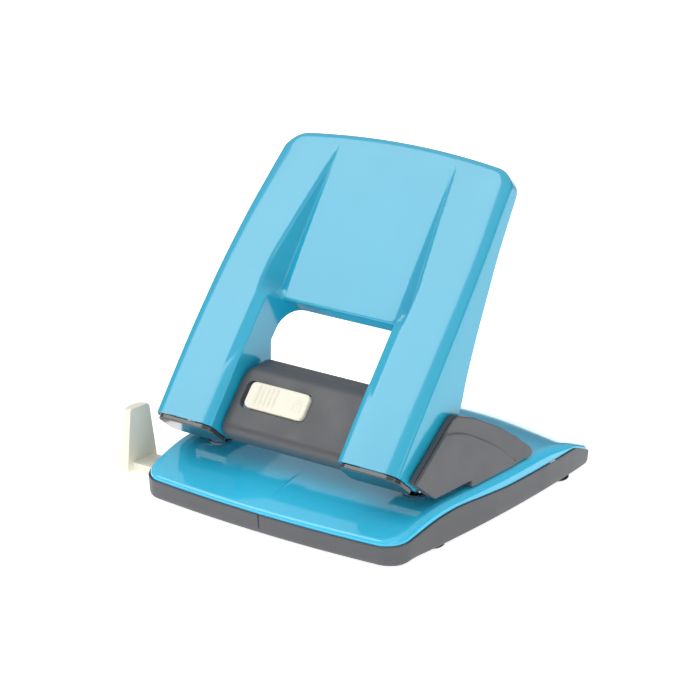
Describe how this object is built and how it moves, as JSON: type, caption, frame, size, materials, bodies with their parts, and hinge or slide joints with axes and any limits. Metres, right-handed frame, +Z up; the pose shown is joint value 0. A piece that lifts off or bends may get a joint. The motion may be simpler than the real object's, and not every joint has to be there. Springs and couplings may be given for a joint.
{
  "type": "two-hole desk punch",
  "caption": "Desk hole punch: tall lever handle with a finger window, twin sprung punch pins, slide lock, sliding paper guide and hinged chip tray.",
  "frame": {"origin": "centre of the footprint at rest, on the surface that the feet stand on", "axes": "+X along the row of holes, to the right of a user facing the paper slot; +Y from the paper slot to the rear; +Z up"},
  "size_m": [0.1245, 0.1172, 0.1126],
  "materials": {
    "handle_blue": "glossy moulded ABS",
    "deck_blue": "gloss paint over pressed steel",
    "grey_plastic": "fine-textured moulded plastic",
    "foot_rubber": "matt black",
    "ivory_plastic": "satin moulded plastic",
    "plain_steel": "zinc-plated sheet",
    "tool_steel": "ground and hardened",
    "spring_steel": "drawn wire and strip",
    "screw_steel": "blackened"
  },
  "bodies": {
    "base": {"base_shell": "grey_plastic", "deck_cover": "deck_blue", "chassis_plate": "plain_steel", "guide_spring": "spring_steel", "tray_hinge_pin": "plain_steel", "die_left": "tool_steel", "tower_cover_left": "grey_plastic", "tower_bracket_left": "plain_steel", "hinge_axle_left": "tool_steel", "axle_clip_left": "spring_steel", "bracket_screw_front_left": "screw_steel", "bracket_screw_rear_left": "screw_steel", "foot_front_left": "foot_rubber", "foot_rear_left": "foot_rubber", "return_spring_left": "spring_steel", "die_right": "tool_steel", "tower_cover_right": "grey_plastic", "tower_bracket_right": "plain_steel", "hinge_axle_right": "tool_steel", "axle_clip_right": "spring_steel", "bracket_screw_front_right": "screw_steel", "bracket_screw_rear_right": "screw_steel", "foot_front_right": "foot_rubber", "foot_rear_right": "foot_rubber", "return_spring_right": "spring_steel"},
    "handle": {"handle_shell": "handle_blue", "front_panel": "grey_plastic", "lock_spring": "spring_steel", "arm_cap_left": "grey_plastic", "lever_left": "plain_steel", "lever_screw_left": "screw_steel", "arm_cap_right": "grey_plastic", "lever_right": "plain_steel", "lever_screw_right": "screw_steel"},
    "lock": {"lock_button": "ivory_plastic", "lock_bolt": "plain_steel"},
    "punch_left": {"punch_pin_left": "tool_steel"},
    "punch_right": {"punch_pin_right": "tool_steel"},
    "guide": {"paper_guide": "ivory_plastic"},
    "tray": {"chip_tray": "grey_plastic"}
  },
  "joints": [
    {"name": "handle_hinge", "type": "hinge", "parent": "base", "child": "handle", "pos_m": [0.0077, -0.03835, 0.0315], "axis": [-1, 0, 0], "range_deg": [0, 38], "stiffness_Nm_per_rad": 0.5, "springref_deg": -22.92},
    {"name": "punch_left_slide", "type": "slide", "parent": "base", "child": "punch_left", "axis": [0, 0, -1], "range_m": [0, 0.0066], "deforming": ["return_spring_left"]},
    {"name": "punch_right_slide", "type": "slide", "parent": "base", "child": "punch_right", "axis": [0, 0, -1], "range_m": [0, 0.0066], "deforming": ["return_spring_right"]},
    {"name": "lock_slide", "type": "slide", "parent": "handle", "child": "lock", "axis": [-1, 0, 0], "range_m": [0, 0.0021]},
    {"name": "guide_slide", "type": "slide", "parent": "base", "child": "guide", "axis": [-1, 0, 0], "range_m": [-0.003, 0.0865]},
    {"name": "tray_hinge", "type": "hinge", "parent": "base", "child": "tray", "pos_m": [0.0077, 0.05015, 0.0056], "axis": [1, 0, 0], "range_deg": [0, 60]}
  ],
  "couplings": [
    {"joint": "punch_left_slide", "follows": "handle_hinge", "m_per_rad": 0.009867},
    {"joint": "punch_right_slide", "follows": "handle_hinge", "m_per_rad": 0.009867}
  ]
}
